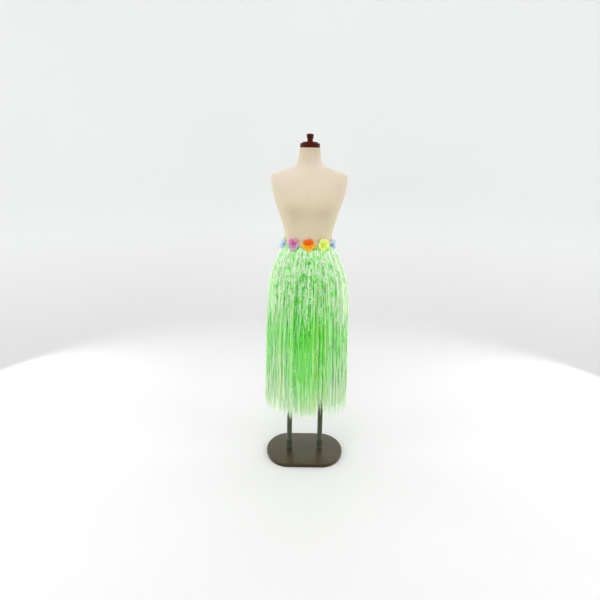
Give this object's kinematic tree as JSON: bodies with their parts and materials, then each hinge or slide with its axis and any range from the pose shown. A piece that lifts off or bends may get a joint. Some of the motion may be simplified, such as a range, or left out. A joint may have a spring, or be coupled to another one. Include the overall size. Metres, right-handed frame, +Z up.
{
  "type": "grass skirt on a dress form",
  "caption": "Long fringe skirt of green plastic grass on a flowered elastic waistband, worn on a limbless dress form with a two-post stand.",
  "frame": {"origin": "middle of the base plate's underside, on the surface that it stands on", "axes": "+Z up through the posts and the form, -Y the front, +X to the right of someone facing the front"},
  "size_m": [0.3907, 0.3006, 1.5535],
  "materials": {
    "stand_metal": "gloss dark bronze",
    "form_linen": "plain woven natural linen, matt",
    "cap_wood": "dark red-brown stain, satin",
    "waist_tape": "woven elastic, matt",
    "grass": "thin translucent film, gloss",
    "petals_orange": "satin",
    "petals_yellow": "satin",
    "petals_blue": "satin",
    "petals_purple": "satin"
  },
  "bodies": {
    "root": {"base_plate": "stand_metal", "post_left": "stand_metal", "post_right": "stand_metal", "dress_form": "form_linen", "neck_cap": "cap_wood", "neck_knob": "cap_wood", "waistband": "waist_tape", "fringe_01": "grass", "fringe_02": "grass", "fringe_03": "grass", "fringe_04": "grass", "fringe_05": "grass", "fringe_06": "grass", "fringe_07": "grass", "fringe_08": "grass", "fringe_09": "grass", "fringe_10": "grass", "fringe_11": "grass", "fringe_12": "grass", "flower_1": "petals_orange", "flower_2": "petals_yellow", "flower_3": "petals_blue", "flower_4": "petals_purple", "flower_5": "petals_orange", "flower_6": "petals_orange", "flower_7": "petals_yellow", "flower_8": "petals_blue", "flower_9": "petals_purple"}
  },
  "joints": []
}
